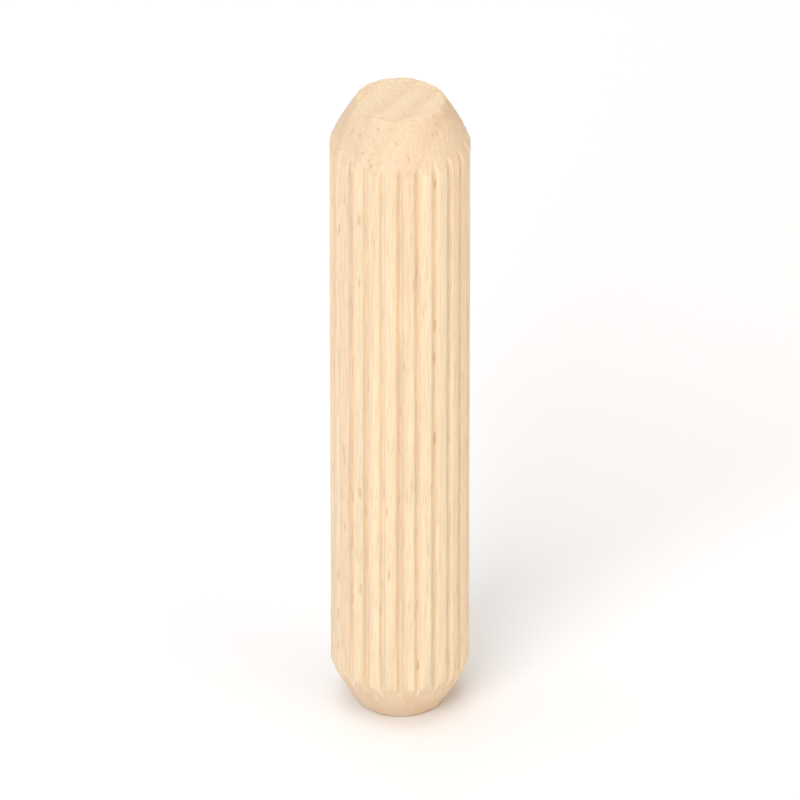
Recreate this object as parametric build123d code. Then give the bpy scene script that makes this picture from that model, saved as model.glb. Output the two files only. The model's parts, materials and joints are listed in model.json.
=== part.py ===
from build123d import *
from math import atan2, cos, hypot, radians, sin, tan
import os

# A fluted wooden dowel pin: a round rod with straight glue flutes, sawn to length, with a bevelled nose at
# each end. It stands on one sawn end face, with its axis along +Z and the origin at that face's middle.
# Millimetres and degrees.

# Rod
pin_diameter = 8.0
pin_length = 40.0

# Noses, each a bevel that bulges a little between the rod's shoulder and a flat sawn end face
nose_length = 2.8
nose_bulge = 0.1
end_face_diameter = 5.0
end_edge_radius = 0.3

# Flutes, each a V with a rounded root and softened lips
flute_count = 24
flute_depth = 0.28
flute_angle = 70.0
flute_root_radius = 0.1
flute_lip_radius = 0.08

# How far the shapes that trim the wood reach past it
overrun = 1.0

pin_radius = pin_diameter / 2
half_length = pin_length / 2


def flute_groove():
    """One flute's section, opening along +X."""
    half_angle = radians(flute_angle / 2)
    root_centre = pin_radius - flute_depth + flute_root_radius
    apex = root_centre - flute_root_radius / sin(half_angle)
    mouth = pin_radius + overrun
    half_mouth = (mouth - apex) * tan(half_angle)
    groove = Polygon((apex, 0), (mouth, -half_mouth), (mouth, half_mouth), align=None)
    return fillet(groove.vertices().sort_by(Axis.X)[0], flute_root_radius)


def fluted_section():
    """The rod's section: a circle with the flutes cut in and every lip softened."""
    section = Circle(pin_radius) - PolarLocations(0, flute_count) * flute_groove()
    lips = section.vertices().sort_by_distance((0, 0))[-2 * flute_count:]
    return fillet(lips, flute_lip_radius)


def nosed_blank():
    """A turning whose bevelled ends start outside the rod and cross it at its shoulders."""
    end_corner = (end_face_diameter / 2, half_length)
    shoulder = (pin_radius, half_length - nose_length)
    drop = shoulder[0] - end_corner[0]
    chord = hypot(nose_length, drop)
    half_turn = 2 * atan2(2 * nose_bulge, chord)
    nose_radius = chord / 2 / sin(half_turn)
    lean = atan2(drop, nose_length) - half_turn
    start_lean = lean - overrun / nose_radius
    start = (
        shoulder[0] + nose_radius * (cos(start_lean) - cos(lean)),
        shoulder[1] + nose_radius * (sin(start_lean) - sin(lean)),
    )
    nose = ThreePointArc(start, shoulder, end_corner)
    outline = nose + Polyline(end_corner, (0, half_length), (0, 0), (start[0], 0), start)
    half = make_face(outline)
    corner = half.vertices().sort_by_distance(end_corner)[0]
    upper = revolve(Plane.XZ * fillet(corner, end_edge_radius), Axis.Z)
    return upper + mirror(upper, Plane.XY)


def dowel_pin():
    """The fluted rod trimmed to its noses and stood on its lower end."""
    rod = extrude(fluted_section(), half_length + overrun, both=True)
    return Pos(0, 0, half_length) * (rod & nosed_blank())


os.makedirs("parts", exist_ok=True)
export_step(dowel_pin(), "parts/dowel_pin.step")
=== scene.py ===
import json
import math
import random
from typing import NamedTuple

import bmesh
import bpy
import numpy as np
from bpy.props import FloatProperty, FloatVectorProperty, IntProperty, PointerProperty
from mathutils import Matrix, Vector


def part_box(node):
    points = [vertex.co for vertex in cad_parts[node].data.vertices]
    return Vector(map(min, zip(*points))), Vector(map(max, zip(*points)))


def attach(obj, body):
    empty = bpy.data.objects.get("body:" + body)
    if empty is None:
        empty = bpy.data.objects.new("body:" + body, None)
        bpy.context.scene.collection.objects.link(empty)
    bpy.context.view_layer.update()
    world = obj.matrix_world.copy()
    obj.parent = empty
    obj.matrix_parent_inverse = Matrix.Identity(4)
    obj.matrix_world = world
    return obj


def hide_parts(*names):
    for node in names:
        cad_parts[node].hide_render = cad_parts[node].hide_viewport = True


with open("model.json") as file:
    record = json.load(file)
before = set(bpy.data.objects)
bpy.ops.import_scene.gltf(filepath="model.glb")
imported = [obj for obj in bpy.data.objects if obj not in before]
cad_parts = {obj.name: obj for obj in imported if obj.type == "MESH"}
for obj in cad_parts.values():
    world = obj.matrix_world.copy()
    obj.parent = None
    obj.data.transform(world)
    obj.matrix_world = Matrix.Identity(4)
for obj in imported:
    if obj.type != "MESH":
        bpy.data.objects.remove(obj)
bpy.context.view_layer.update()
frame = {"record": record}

bl_info = {
    "name": "Dowel pin",
    "version": (1, 0, 0),
    "blender": (4, 5, 0),
    "location": "View3D > Sidebar > Dowel pin",
    "description": "Models a fluted wooden dowel pin and sets a plain stage round it",
    "category": "Mesh",
}

MM = 0.001
PIN_NODE = "dowel_pin"
WOOD_SLOT = "pale_wood"
FLUTE_MARK = "flute"
PIN_LOW, PIN_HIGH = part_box(PIN_NODE)
PIN_LENGTH = PIN_HIGH.z - PIN_LOW.z
SHANK = next(mount for mount in frame["record"]["mounts"] if mount["name"] == "shank")["dims"]
SHANK_LENGTH = SHANK["length_mm"] * MM
SHANK_DIAMETER = 2 * SHANK["r_mm"] * MM

# How finely the pin's mesh is divided: the flutes run out within the scallops' share of a nose
COLUMNS_PER_FLUTE = 20
SHANK_RINGS = 44
SCALLOP_RINGS = 16
SCALLOP_SHARE = 0.34
BEVEL_RINGS = 12
EDGE_RINGS = 6
CLOSE = 0.001 * MM
SMOOTH_ANGLE = math.radians(50)

# How uneven the flutes are
FLUTE_SEED = 11
FLUTE_DEPTH_SPREAD = 0.14

# The middle of any noise, and how many finer noises are added to each kind
NOISE_MIDDLE = 0.5
RELIEF_DETAIL = 2
BROAD_DETAIL = 1.0
GRAIN_DETAIL = 2.0
FIBRE_DETAIL = 3.0


class Relief(NamedTuple):
    """Unevenness of one part of the pin: noise as long each way as spread, in millimetres and degrees"""

    name: str
    part: str
    spread: tuple
    height: float
    mid_level: float = NOISE_MIDDLE
    place: tuple = (0, 0, 0)
    turn: float = 0


RELIEFS = (
    Relief("lie_of_lands", part="side", spread=(1.3, 1.3, 16), height=0.07, place=(3, 1, 7)),
    Relief("raised_fibres", part="side", spread=(0.2, 0.2, 5), height=0.014, place=(1, 2, 3)),
    Relief("torn_flute_ends", part="shoulder", spread=(0.3, 0.3, 0.7), height=0.06, place=(0, 2, 0)),
    Relief("worn_rim", part="rim", spread=(0.5, 0.5, 0.5), height=0.14, place=(4, 0, 0)),
    Relief("saw_waves", part="sawn_ends", spread=(0.9, 5, 5), height=0.05, mid_level=1, turn=24),
    Relief("saw_lines", part="sawn_ends", spread=(0.14, 3, 3), height=0.028, mid_level=1, turn=24),
)

# Where each part of the pin begins and ends, as distances in from a sawn end
SIDE_BEGINS = (0.1 * MM, 0.6 * MM)
SHOULDER_BEGINS = (1.6 * MM, 2.1 * MM)
SHOULDER_ENDS = (2.8 * MM, 4.0 * MM)
RIM_ENDS = (0.2 * MM, 0.7 * MM)
SAWN_ENDS = (0.01 * MM, 0.02 * MM)

# How far the worn rim reaches in over a sawn end, and the heights over which its wear sets in
RIM_WIDTH = 0.5 * MM
RIM_LIFT = (0.05 * MM, 0.3 * MM)

# The grain: lengths in millimetres along the log's radius, round the log and along its fibres
LOG_TURN = (math.radians(1.6), math.radians(-1.1), math.radians(34))
PITH_DISTANCE = 38
WANDER_SPREAD = (9, 9, 60)
WANDER_YEARS = 1.6
LATE_SEASON = (0.25, 0.9)
SEASON_TURNS = (0.93, 1.0)
STREAK_SPREAD = (0.8, 0.8, 28)
FIBRE_SPREAD = (0.12, 0.12, 5)
PORE_SPREAD = (0.06, 0.06, 1.5)
RAY_SPREAD = (0.6, 0.2, 2.4)
SAW_SPREAD = (0.1, 5, 5)
SAW_TURN = (0, 0, math.radians(-24))
TOOL_SPREAD = (30, 30, 0.09)

# Where soft steps in the grain's noises begin and end
FIBRE_STEP = (0.34, 0.7)
PORE_STEP = (0.58, 0.72)
RAY_STEP = (0.1, 0.26)
RAY_KINDS = (0.4, 0.7)
SAWN_FACING = (0.82, 0.97)
NOSE_FACING = (0.12, 0.5)

# Places of a mix node's sockets for colours
MIX_SHARE = 0
MIX_FIRST = 6
MIX_SECOND = 7
MIX_RESULT = 2

# How much each thing shows in the wood's colour
LATE_SHARE = 0.42
STREAK_SHARE = 0.12
FIBRE_SHARE = 0.11
PORE_SHARE = 0.2
END_PORE_SHARE = 0.28
RAY_SHARE = 0.42
END_SHARE = 0.14
NOSE_SHARE = 0.36
SAW_SHARE = 0.26
# Share of pressed wood in the flute roots: partly the wood's real bruising, partly painted shade in the
# grooves
FLUTE_PRESS_AND_SHADE_SHARE = 0.06

# How much each thing shows in the wood's gloss, and how high it stands in millimetres
WOOD_ROUGHNESS = 0.56
FIBRE_ROUGHNESS = 0.12
END_ROUGHNESS = 0.15
WOOD_SPECULAR = 0.28
FIBRE_HEIGHT = 0.012
PORE_HEIGHT = -0.008
RAY_HEIGHT = -0.005
SAW_HEIGHT = 0.02
TOOL_HEIGHT = 0.006


class Softbox(NamedTuple):
    """A square light that faces the pin: metres, watts and colour"""

    name: str
    place: tuple
    width: float
    power: float
    colour: tuple


SOFTBOXES = (
    Softbox("key_light", place=(-0.48, -0.92, 0.8), width=0.75, power=8.8, colour=(1.0, 0.99, 0.98)),
    Softbox("top_light", place=(-0.1, 0.1, 1.3), width=1.2, power=9.0, colour=(1.0, 1.0, 1.0)),
    Softbox("warm_reflector", place=(0.9, -0.55, 0.4), width=0.9, power=3.8, colour=(1.0, 0.82, 0.64)),
)
AMBIENT_LIGHT = 0.38
AMBIENT_COLOUR = (1.0, 0.95, 0.88)
FLOOR_ROUGHNESS = 0.9
FLOOR_SPECULAR = 0.1
CLIP_START = 0.01


class DowelPinSizes(bpy.types.PropertyGroup):
    """The pin's sizes, in metres and radians"""

    diameter: FloatProperty(
        name="Diameter",
        description="Across the lands between the flutes",
        default=SHANK_DIAMETER,
        unit="LENGTH",
        precision=5,
    )
    length: FloatProperty(
        name="Length",
        description="From one sawn end to the other",
        default=PIN_LENGTH,
        unit="LENGTH",
        precision=5,
    )
    nose_length: FloatProperty(
        name="Nose length",
        description="From a shoulder to its sawn end",
        default=(PIN_LENGTH - SHANK_LENGTH) / 2,
        unit="LENGTH",
        precision=5,
    )
    nose_bulge: FloatProperty(
        name="Nose bulge",
        description="How far a nose's curve stands out from a straight bevel",
        default=0.1 * MM,
        unit="LENGTH",
        precision=5,
    )
    end_diameter: FloatProperty(
        name="End diameter",
        description="Across a sawn end, before its edge is worn round",
        default=5 * MM,
        unit="LENGTH",
        precision=5,
    )
    end_edge: FloatProperty(
        name="End edge",
        description="Radius of the worn edge round a sawn end",
        default=0.3 * MM,
        unit="LENGTH",
        precision=5,
    )
    flutes: IntProperty(
        name="Flutes",
        description="How many flutes go round the rod",
        default=24,
        min=4,
    )
    flute_depth: FloatProperty(
        name="Flute depth",
        description="From the lands to a flute's root",
        default=0.28 * MM,
        unit="LENGTH",
        precision=5,
    )
    flute_angle: FloatProperty(
        name="Flute angle",
        description="Between a flute's two flanks",
        default=math.radians(70),
        subtype="ANGLE",
    )
    root_radius: FloatProperty(
        name="Root radius",
        description="Of the round at the bottom of a flute",
        default=0.1 * MM,
        unit="LENGTH",
        precision=5,
    )
    lip_softness: FloatProperty(
        name="Lip softness",
        description="How much of a flute's depth the rounding of its lips takes",
        default=0.07 * MM,
        unit="LENGTH",
        precision=5,
    )


class DowelPinWood(bpy.types.PropertyGroup):
    """The colours and the growth of the bare wood"""

    early_wood: FloatVectorProperty(
        name="Early wood",
        description="The pale part of a year's ring",
        default=(0.865, 0.705, 0.503),
        subtype="COLOR",
    )
    late_wood: FloatVectorProperty(
        name="Late wood",
        description="The darker part of a year's ring",
        default=(0.785, 0.59, 0.39),
        subtype="COLOR",
    )
    ray_fleck: FloatVectorProperty(
        name="Ray flecks",
        description="The short flecks that rays and pores leave in the grain",
        default=(0.52, 0.30, 0.145),
        subtype="COLOR",
    )
    end_grain: FloatVectorProperty(
        name="End grain",
        description="The wood where its fibres are cut across",
        default=(0.62, 0.43, 0.29),
        subtype="COLOR",
    )
    # Partly the real colour of bruised wood, partly painted shade at the roots of the flutes
    pressed_and_shaded_wood: FloatVectorProperty(
        name="Pressed wood and painted shade",
        description="The bruised wood and painted shade at the root of a flute",
        default=(0.61, 0.37, 0.185),
        subtype="COLOR",
    )
    ring_width: FloatProperty(
        name="Ring width",
        description="Of one year's growth",
        default=1.7 * MM,
        unit="LENGTH",
        precision=5,
    )


class DowelPinStage(bpy.types.PropertyGroup):
    """The floor and the camera"""

    floor_colour: FloatVectorProperty(
        name="Floor",
        description="Colour of the plain floor",
        default=(0.91, 0.92, 0.95),
        subtype="COLOR",
    )
    floor_width: FloatProperty(
        name="Floor width",
        description="Of the square floor",
        default=6.0,
        unit="LENGTH",
    )
    elevation: FloatProperty(
        name="Elevation",
        description="Of the camera above the floor",
        default=math.radians(32),
        subtype="ANGLE",
    )
    distance: FloatProperty(
        name="Distance",
        description="From the camera to the pin",
        default=0.9,
        unit="LENGTH",
    )
    filled: FloatProperty(
        name="Frame filled",
        description="Share of the picture's height that the pin takes",
        default=0.8,
        subtype="FACTOR",
    )


# Working on a mesh


def start_piece(name):
    """Names the new primitive, puts its place into its mesh and opens it for editing."""
    piece = bpy.context.object
    piece.name = name
    piece.data.name = name
    bpy.ops.object.transform_apply(location=True, rotation=True, scale=True)
    bpy.ops.object.mode_set(mode="EDIT")
    return piece


def pick(piece, wanted):
    """Selects just the vertices whose place is wanted, with the edges and faces between them."""
    bpy.ops.mesh.select_mode(type="VERT")
    bpy.ops.mesh.select_all(action="DESELECT")
    mesh = bmesh.from_edit_mesh(piece.data)
    for vertex in mesh.verts:
        vertex.select = wanted(vertex.co)
    mesh.select_flush(True)
    bmesh.update_edit_mesh(piece.data)


def picked(piece):
    """The places of the selected vertices."""
    return [vertex.co.copy() for vertex in bmesh.from_edit_mesh(piece.data).verts if vertex.select]


def scale_round_axis(factor, height):
    """Scales what is selected towards or away from the pin's axis."""
    bpy.ops.transform.resize(value=(factor, factor, 1), center_override=(0, 0, height))


def check_closed(piece):
    """Raises an error unless every edge of the piece lies between two faces."""
    bpy.ops.mesh.select_mode(type="EDGE")
    bpy.ops.mesh.select_all(action="DESELECT")
    bpy.ops.mesh.select_non_manifold()
    if picked(piece):
        raise RuntimeError(f"{piece.name} isn't closed")


def places_of(piece):
    """Every vertex's place, as an array."""
    places = np.zeros(len(piece.data.vertices) * 3, np.float32)
    piece.data.vertices.foreach_get("co", places)
    return places.reshape(-1, 3).astype(float)


def soft_step(value, span):
    """A soft step from 0 at the span's start to 1 at its end."""
    low, high = span
    share = np.clip((value - low) / (high - low), 0, 1)
    return share * share * (3 - 2 * share)


# The pin's outlines


def flute_radius(sizes, angle, depth_share):
    """The rod's radius at an angle from a flute's middle: a round root, straight flanks, soft lips."""
    land = sizes.diameter / 2
    flank = sizes.flute_angle / 2
    root_centre = land - sizes.flute_depth * depth_share + sizes.root_radius
    apex = root_centre - sizes.root_radius / math.sin(flank)
    beside = root_centre * math.sin(angle)
    if beside < sizes.root_radius * math.cos(flank):
        cut = root_centre * math.cos(angle) - math.sqrt(sizes.root_radius**2 - beside**2)
    else:
        cut = apex / (math.cos(angle) - math.sin(angle) / math.tan(flank))
    blend = max(sizes.lip_softness - abs(cut - land), 0)
    return min(cut, land) - blend**2 / sizes.lip_softness / 4


def nose_arc(sizes):
    """The nose's curve: its radius, and its centre's distances from the axis and past the shoulder."""
    drop = (sizes.diameter - sizes.end_diameter) / 2
    chord = math.hypot(sizes.nose_length, drop)
    half_turn = 2 * math.atan2(2 * sizes.nose_bulge, chord)
    radius = chord / 2 / math.sin(half_turn)
    lean = math.atan2(drop, sizes.nose_length) - half_turn
    return radius, sizes.diameter / 2 - radius * math.cos(lean), -radius * math.sin(lean)


def nose_outline(sizes):
    """The nose from its shoulder to the flat of the sawn end, as radii and heights past the shoulder."""
    radius, centre, height = nose_arc(sizes)
    edge_height = sizes.nose_length - sizes.end_edge
    edge_centre = centre + math.sqrt((radius - sizes.end_edge) ** 2 - (edge_height - height) ** 2)
    edge_turn = math.atan2(edge_height - height, edge_centre - centre)
    lean = math.asin(-height / radius)
    scallop_turn = lean + (edge_turn - lean) * SCALLOP_SHARE
    scallops = np.linspace(lean, scallop_turn, SCALLOP_RINGS, endpoint=False)[1:]
    bevel = np.linspace(scallop_turn, edge_turn, BEVEL_RINGS, endpoint=False)
    edge = np.linspace(edge_turn, math.pi / 2, EDGE_RINGS)
    outline = []
    for turn in np.concatenate([scallops, bevel]):
        outline.append((centre + radius * math.cos(turn), height + radius * math.sin(turn)))
    for turn in edge:
        ring_radius = edge_centre + sizes.end_edge * math.cos(turn)
        outline.append((ring_radius, edge_height + sizes.end_edge * math.sin(turn)))
    return outline


# Modelling the pin


def fluted_ring(sizes):
    """A ring at the lower shoulder, pushed in at each flute, at some a little less than at others."""
    columns = sizes.flutes * COLUMNS_PER_FLUTE
    column_angle = math.tau / columns
    bpy.ops.object.select_all(action="DESELECT")
    bpy.ops.mesh.primitive_circle_add(
        vertices=columns,
        radius=sizes.diameter / 2,
        fill_type="NOTHING",
        location=(0, 0, sizes.nose_length),
    )
    pin = start_piece("fluted_pin")
    draw = random.Random(FLUTE_SEED)
    for flute in range(sizes.flutes):
        depth_share = 1 - draw.random() * FLUTE_DEPTH_SPREAD
        middle = flute * COLUMNS_PER_FLUTE
        for beside in range(COLUMNS_PER_FLUTE // 2):
            radius = flute_radius(sizes, beside * column_angle, depth_share)
            if radius > sizes.diameter / 2 - CLOSE:
                continue
            pair = {(middle + beside) % columns, (middle - beside) % columns}
            pick(pin, lambda co: round(math.atan2(co.x, co.y) / column_angle) % columns in pair)
            scale_round_axis(radius * 2 / sizes.diameter, sizes.nose_length)
    return pin


def draw_rod(sizes):
    """Draws the selected ring up into the rod between the two shoulders."""
    rod_length = sizes.length - 2 * sizes.nose_length
    bpy.ops.mesh.extrude_region_move(TRANSFORM_OT_translate={"value": (0, 0, rod_length)})


def turn_nose(pin, sizes, upward):
    """Draws an open end of the rod out into a nose, ring by ring, and closes it with its sawn end."""
    side = 1 if upward else -1
    shoulder = sizes.length - sizes.nose_length if upward else sizes.nose_length
    pick(pin, lambda co: abs(co.z - shoulder) < CLOSE)
    height = 0.0
    for radius, next_height in nose_outline(sizes):
        rise = (0, 0, side * (next_height - height))
        bpy.ops.mesh.extrude_region_move(TRANSFORM_OT_translate={"value": rise})
        height = next_height
        level = shoulder + side * height
        pick(pin, lambda co: abs(co.z - level) < CLOSE and co.xy.length > radius)
        if picked(pin):
            bpy.ops.transform.tosphere(value=1)
            scale_round_axis(radius / picked(pin)[0].xy.length, level)
        pick(pin, lambda co: abs(co.z - level) < CLOSE)
    bpy.ops.mesh.fill_grid(span=sizes.flutes * COLUMNS_PER_FLUTE // 4)


def divide_rod(pin, sizes):
    """Divides the long faces of the rod into rings."""
    rod_length = sizes.length - 2 * sizes.nose_length
    bpy.ops.mesh.select_mode(type="EDGE")
    bpy.ops.mesh.select_all(action="DESELECT")
    mesh = bmesh.from_edit_mesh(pin.data)
    for edge in mesh.edges:
        edge.select = abs(edge.calc_length() - rod_length) < CLOSE
    bmesh.update_edit_mesh(pin.data)
    bpy.ops.mesh.subdivide(number_cuts=SHANK_RINGS)


# Relief that the grain, the saw and wear leave in the wood


def part_weights(pin, sizes):
    """How far each vertex belongs to each part of the pin."""
    places = places_of(pin)
    along = places[:, 2]
    out = np.hypot(places[:, 0], places[:, 1])
    from_end = np.minimum(along, sizes.length - along)
    flat_radius = nose_outline(sizes)[-1][0]
    rim = (1 - soft_step(from_end, RIM_ENDS)) * soft_step(out, (flat_radius - RIM_WIDTH, flat_radius))
    return {
        "side": soft_step(from_end, SIDE_BEGINS),
        "shoulder": soft_step(from_end, SHOULDER_BEGINS) * (1 - soft_step(from_end, SHOULDER_ENDS)),
        "rim": rim * soft_step(along, RIM_LIFT),
        "sawn_ends": 1 - soft_step(from_end, SAWN_ENDS),
    }


def weigh(pin, name, weights):
    """Adds a vertex group with one weight for each vertex."""
    group = pin.vertex_groups.new(name=name)
    for index, weight in enumerate(weights):
        group.add([index], float(weight), "REPLACE")


def raise_relief(pin, relief):
    """Moves one part of the surface in and out by noise."""
    bpy.ops.object.select_all(action="DESELECT")
    bpy.ops.object.empty_add(
        location=[length * MM for length in relief.place],
        rotation=(0, 0, math.radians(relief.turn)),
    )
    axes = bpy.context.object
    axes.scale = [length * MM for length in relief.spread]
    bpy.ops.object.select_all(action="DESELECT")
    pin.select_set(True)
    bpy.context.view_layer.objects.active = pin
    noise = bpy.data.textures.new(relief.name, "CLOUDS")
    noise.noise_scale = 1.0
    noise.noise_depth = RELIEF_DETAIL
    bpy.ops.object.modifier_add(type="DISPLACE")
    move = pin.modifiers[-1]
    move.texture = noise
    move.texture_coords = "OBJECT"
    move.texture_coords_object = axes
    move.vertex_group = relief.part
    move.strength = relief.height * MM
    move.mid_level = relief.mid_level
    bpy.ops.object.modifier_apply(modifier=move.name)
    bpy.data.objects.remove(axes)
    bpy.data.textures.remove(noise)


def wear_pin(pin, sizes):
    """Gives the pin its uneven lands, raised fibres, ragged flute ends, worn rims and sawn ends."""
    for part, weights in part_weights(pin, sizes).items():
        weigh(pin, part, weights)
    for relief in RELIEFS:
        raise_relief(pin, relief)
    pin.vertex_groups.clear()


def mark_flutes(pin, sizes):
    """Stores how deep each vertex lies in a flute, from 0 on the lands to 1 at the root."""
    radius, centre, height = nose_arc(sizes)
    places = places_of(pin)
    past = sizes.nose_length - np.minimum(places[:, 2], sizes.length - places[:, 2])
    turned = centre + np.sqrt(np.maximum(radius**2 - (past - height) ** 2, 0))
    full = np.where(past > 0, np.minimum(turned, sizes.diameter / 2), sizes.diameter / 2)
    depth = np.clip((full - np.hypot(places[:, 0], places[:, 1])) / sizes.flute_depth, 0, 1)
    depth[past > sizes.nose_length - 2 * sizes.end_edge] = 0
    mark = pin.data.attributes.new(FLUTE_MARK, "FLOAT", "POINT")
    mark.data.foreach_set("value", depth.astype(np.float32))


# Finishes


class Value:
    """A number that changes over a surface: a node's output that takes part in Python arithmetic."""

    def __init__(self, finish, socket):
        self.finish = finish
        self.socket = socket

    def math(self, operation, *numbers):
        return self.finish.node("ShaderNodeMath", {"operation": operation}, dict(enumerate(numbers)))

    def __add__(self, other):
        return self.math("ADD", self, other)

    def __sub__(self, other):
        return self.math("SUBTRACT", self, other)

    def __mul__(self, other):
        return self.math("MULTIPLY", self, other)

    def __truediv__(self, other):
        return self.math("DIVIDE", self, other)

    def __pow__(self, other):
        return self.math("POWER", self, other)

    def __mod__(self, other):
        return self.math("MODULO", self, other)

    def __abs__(self):
        return self.math("ABSOLUTE", self)

    def __rsub__(self, other):
        return self.math("SUBTRACT", other, self)

    def __rtruediv__(self, other):
        return self.math("DIVIDE", other, self)

    __radd__ = __add__
    __rmul__ = __mul__


class Finish:
    """A material that is put together a node at a time."""

    def __init__(self, name):
        self.material = bpy.data.materials.new(name)
        self.material.use_nodes = True
        self.tree = self.material.node_tree
        self.tree.nodes.clear()

    def node(self, kind, settings=None, inputs=None, output=0):
        """Adds a node, sets its settings and then its sockets, and gives one of its outputs, if any."""
        node = self.tree.nodes.new(kind)
        for name, setting in (settings or {}).items():
            setattr(node, name, setting)
        for name, value in (inputs or {}).items():
            if isinstance(value, Value):
                self.tree.links.new(value.socket, node.inputs[name])
            else:
                node.inputs[name].default_value = value
        return Value(self, node.outputs[output]) if node.outputs else None

    def turned(self, place, turn):
        """The place in millimetres, turned."""
        inputs = {"Vector": place, "Rotation": turn, "Scale": (1 / MM, 1 / MM, 1 / MM)}
        return self.node("ShaderNodeMapping", {"vector_type": "POINT"}, inputs)

    def axis(self, vector, name):
        """A vector's part along one axis."""
        return self.node("ShaderNodeSeparateXYZ", {}, {0: vector}, output=name)

    def stretched(self, vector, spread):
        """The vector divided by spread, a length for each axis."""
        return self.node("ShaderNodeVectorMath", {"operation": "DIVIDE"}, {0: vector, 1: spread})

    def noise(self, vector, spread, detail=GRAIN_DETAIL):
        """Noise from 0 to 1 whose blots are as long each way as spread says."""
        inputs = {"Vector": self.stretched(vector, spread), "Scale": 1.0, "Detail": detail}
        return self.node("ShaderNodeTexNoise", {"noise_dimensions": "3D"}, inputs)

    def step(self, value, span):
        """A soft step from 0 at the span's start to 1 at its end."""
        settings = {"interpolation_type": "SMOOTHSTEP", "clamp": True}
        inputs = {"Value": value, "From Min": span[0], "From Max": span[1]}
        return self.node("ShaderNodeMapRange", settings, inputs)

    def mix(self, share, first, second):
        """A colour between two colours."""
        settings = {"data_type": "RGBA", "blend_type": "MIX", "clamp_factor": True}
        inputs = {MIX_SHARE: share, MIX_FIRST: first, MIX_SECOND: second}
        return self.node("ShaderNodeMix", settings, inputs, output=MIX_RESULT)

    def tint(self, colour, share):
        """A colour made lighter or darker by a share round 1."""
        return self.node("ShaderNodeVectorMath", {"operation": "SCALE"}, {0: colour, "Scale": share})

    def close(self, inputs):
        """Ends the material in one shader."""
        shader = self.node("ShaderNodeBsdfPrincipled", {}, inputs)
        self.node("ShaderNodeOutputMaterial", {}, {"Surface": shader})
        return self.material


def bare_wood(looks):
    """Pale close-grained hardwood, cut a little out of line with its fibres, with end grain where sawn."""
    wood = Finish(WOOD_SLOT)
    place = wood.node("ShaderNodeTexCoord", output="Object")
    log = wood.turned(place, LOG_TURN)
    facing = abs(wood.axis(wood.node("ShaderNodeNewGeometry", output="Normal"), "Z"))
    sawn = wood.step(facing, SAWN_FACING)
    nose = wood.step(facing, NOSE_FACING) - sawn
    flute = wood.node("ShaderNodeAttribute", {"attribute_name": FLUTE_MARK}, output="Fac")

    # Growth rings, round a pith that lies well outside the pin
    from_pith = ((wood.axis(log, "X") + PITH_DISTANCE) ** 2 + wood.axis(log, "Y") ** 2) ** 0.5
    wander = wood.noise(log, WANDER_SPREAD, BROAD_DETAIL) * WANDER_YEARS
    year = from_pith / (looks.ring_width / MM) + wander
    late = wood.step(year % 1, LATE_SEASON) - wood.step(year % 1, SEASON_TURNS)

    # Fibres, pores and the flecks of the rays
    streaks = wood.noise(log, STREAK_SPREAD)
    fibres = wood.step(wood.noise(log, FIBRE_SPREAD, FIBRE_DETAIL), FIBRE_STEP)
    pores = wood.step(wood.noise(log, PORE_SPREAD, BROAD_DETAIL), PORE_STEP)
    ray_inputs = {"Vector": wood.stretched(log, RAY_SPREAD), "Scale": 1.0}
    ray_middle = wood.node("ShaderNodeTexVoronoi", {"feature": "F1"}, ray_inputs, output="Distance")
    ray_cell = wood.node("ShaderNodeTexVoronoi", {"feature": "F1"}, ray_inputs, output="Color")
    rays = (1 - wood.step(ray_middle, RAY_STEP)) * wood.step(wood.axis(ray_cell, "X"), RAY_KINDS)

    # Marks of the saw on the ends and of the cutter round the noses
    saw = wood.noise(wood.turned(place, SAW_TURN), SAW_SPREAD)
    cutter = wood.noise(wood.turned(place, (0, 0, 0)), TOOL_SPREAD)

    fleck = (*looks.ray_fleck, 1)
    colour = wood.mix(late * LATE_SHARE, (*looks.early_wood, 1), (*looks.late_wood, 1))
    unevenness = (streaks - NOISE_MIDDLE) * STREAK_SHARE + (fibres - NOISE_MIDDLE) * FIBRE_SHARE
    colour = wood.tint(colour, unevenness + 1)
    cut_across = sawn * (saw * SAW_SHARE + END_SHARE - SAW_SHARE / 2) + nose * NOSE_SHARE
    colour = wood.mix(cut_across, colour, (*looks.end_grain, 1))
    # The flute roots turn towards pressed wood by their depth: partly real bruising, partly painted shade
    # in the grooves
    colour = wood.mix(flute * FLUTE_PRESS_AND_SHADE_SHARE, colour, (*looks.pressed_and_shaded_wood, 1))
    colour = wood.mix(pores * (sawn * (END_PORE_SHARE - PORE_SHARE) + PORE_SHARE), colour, fleck)
    colour = wood.mix(rays * RAY_SHARE, colour, fleck)

    grain_height = fibres * FIBRE_HEIGHT + pores * PORE_HEIGHT + rays * RAY_HEIGHT
    height = grain_height + sawn * saw * SAW_HEIGHT + nose * cutter * TOOL_HEIGHT
    return wood.close(
        {
            "Base Color": colour,
            "Roughness": fibres * FIBRE_ROUGHNESS + sawn * END_ROUGHNESS + WOOD_ROUGHNESS,
            "Normal": wood.node("ShaderNodeBump", {}, {"Height": height, "Strength": 1.0, "Distance": MM}),
            "Specular IOR Level": WOOD_SPECULAR,
        }
    )


def plain_floor(colour):
    """Matte pale board."""
    return Finish("floor_board").close(
        {
            "Base Color": (*colour, 1),
            "Roughness": FLOOR_ROUGHNESS,
            "Specular IOR Level": FLOOR_SPECULAR,
        }
    )


# Operators


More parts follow.
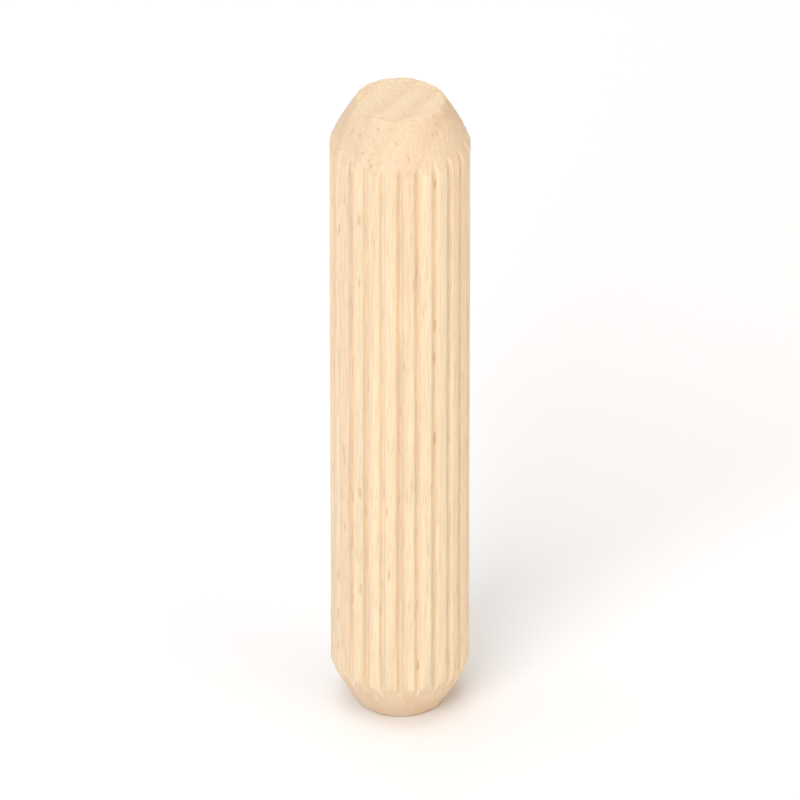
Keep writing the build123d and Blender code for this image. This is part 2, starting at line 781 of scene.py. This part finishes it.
class DOWEL_OT_turn_pin(bpy.types.Operator):
    """Model the fluted pin, standing on its lower end"""

    bl_idname = "dowel.turn_pin"
    bl_label = "Turn pin"

    def execute(self, context):
        sizes = context.scene.dowel_sizes
        pin = fluted_ring(sizes)
        bpy.ops.mesh.select_all(action="SELECT")
        draw_rod(sizes)
        turn_nose(pin, sizes, upward=True)
        turn_nose(pin, sizes, upward=False)
        divide_rod(pin, sizes)
        check_closed(pin)
        bpy.ops.mesh.select_all(action="SELECT")
        bpy.ops.mesh.normals_make_consistent(inside=False)
        bpy.ops.object.mode_set(mode="OBJECT")
        wear_pin(pin, sizes)
        mark_flutes(pin, sizes)
        bpy.ops.object.shade_smooth_by_angle(angle=SMOOTH_ANGLE)
        pin.data.materials.append(bare_wood(context.scene.dowel_wood))
        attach(pin, "root")
        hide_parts(PIN_NODE)
        return {"FINISHED"}


def face(place, target):
    """The turn that points a light's or a camera's view from a place to a target."""
    return (Vector(target) - Vector(place)).to_track_quat("-Z", "Y").to_euler()


def add_softbox(softbox, target):
    """Adds one square light that faces a target and isn't seen itself."""
    bpy.ops.object.light_add(type="AREA", location=softbox.place, rotation=face(softbox.place, target))
    light = bpy.context.object
    light.name = softbox.name
    light.data.name = softbox.name
    light.data.size = softbox.width
    light.data.energy = softbox.power
    light.data.color = softbox.colour
    light.visible_camera = False


def add_camera(sizes, stage, target):
    """Adds a camera in front of the pin and above it, with a lens that fills the picture's height."""
    back = Vector((0, -math.cos(stage.elevation), math.sin(stage.elevation)))
    place = target + back * stage.distance
    bpy.ops.object.camera_add(location=place, rotation=face(place, target))
    camera = bpy.context.object
    seen_side = sizes.length * math.cos(stage.elevation)
    seen_end = sizes.end_diameter * math.sin(stage.elevation)
    camera.data.lens = camera.data.sensor_width * stage.distance * stage.filled / (seen_side + seen_end)
    camera.data.clip_start = CLIP_START
    return camera


def even_world(colour, strength):
    """Even light from all round."""
    world = bpy.data.worlds.new("studio")
    world.use_nodes = True
    background = world.node_tree.nodes["Background"]
    background.inputs["Color"].default_value = (*colour, 1)
    background.inputs["Strength"].default_value = strength
    return world


class DOWEL_OT_set_stage(bpy.types.Operator):
    """Lay the floor and set the lights and the camera"""

    bl_idname = "dowel.set_stage"
    bl_label = "Set stage"

    def execute(self, context):
        scene = context.scene
        stage = scene.dowel_stage
        bpy.ops.object.select_all(action="DESELECT")
        bpy.ops.mesh.primitive_plane_add(size=stage.floor_width, location=(0, 0, 0))
        floor = context.object
        floor.name = "floor"
        floor.data.materials.append(plain_floor(stage.floor_colour))
        middle = Vector((0, 0, scene.dowel_sizes.length / 2))
        for softbox in SOFTBOXES:
            add_softbox(softbox, middle)
        scene.world = even_world(AMBIENT_COLOUR, AMBIENT_LIGHT)
        scene.view_settings.view_transform = "Standard"
        scene.camera = add_camera(scene.dowel_sizes, stage, middle)
        return {"FINISHED"}


class DOWEL_PT_sidebar(bpy.types.Panel):
    """The dowel pin's sizes, looks and steps"""

    bl_label = "Dowel pin"
    bl_idname = "DOWEL_PT_sidebar"
    bl_space_type = "VIEW_3D"
    bl_region_type = "UI"
    bl_category = "Dowel pin"

    def draw(self, context):
        scene = context.scene
        for group in (scene.dowel_sizes, scene.dowel_wood, scene.dowel_stage):
            box = self.layout.box()
            for name in group.__annotations__:
                box.prop(group, name)
        for operator in (DOWEL_OT_turn_pin, DOWEL_OT_set_stage):
            self.layout.operator(operator.bl_idname)


CLASSES = (
    DowelPinSizes,
    DowelPinWood,
    DowelPinStage,
    DOWEL_OT_turn_pin,
    DOWEL_OT_set_stage,
    DOWEL_PT_sidebar,
)


def register():
    for cls in CLASSES:
        bpy.utils.register_class(cls)
    bpy.types.Scene.dowel_sizes = PointerProperty(type=DowelPinSizes)
    bpy.types.Scene.dowel_wood = PointerProperty(type=DowelPinWood)
    bpy.types.Scene.dowel_stage = PointerProperty(type=DowelPinStage)


def unregister():
    del bpy.types.Scene.dowel_stage
    del bpy.types.Scene.dowel_wood
    del bpy.types.Scene.dowel_sizes
    for cls in reversed(CLASSES):
        bpy.utils.unregister_class(cls)


def main():
    register()
    bpy.ops.dowel.turn_pin()
    bpy.ops.dowel.set_stage()


if __name__ == "__main__":
    main()
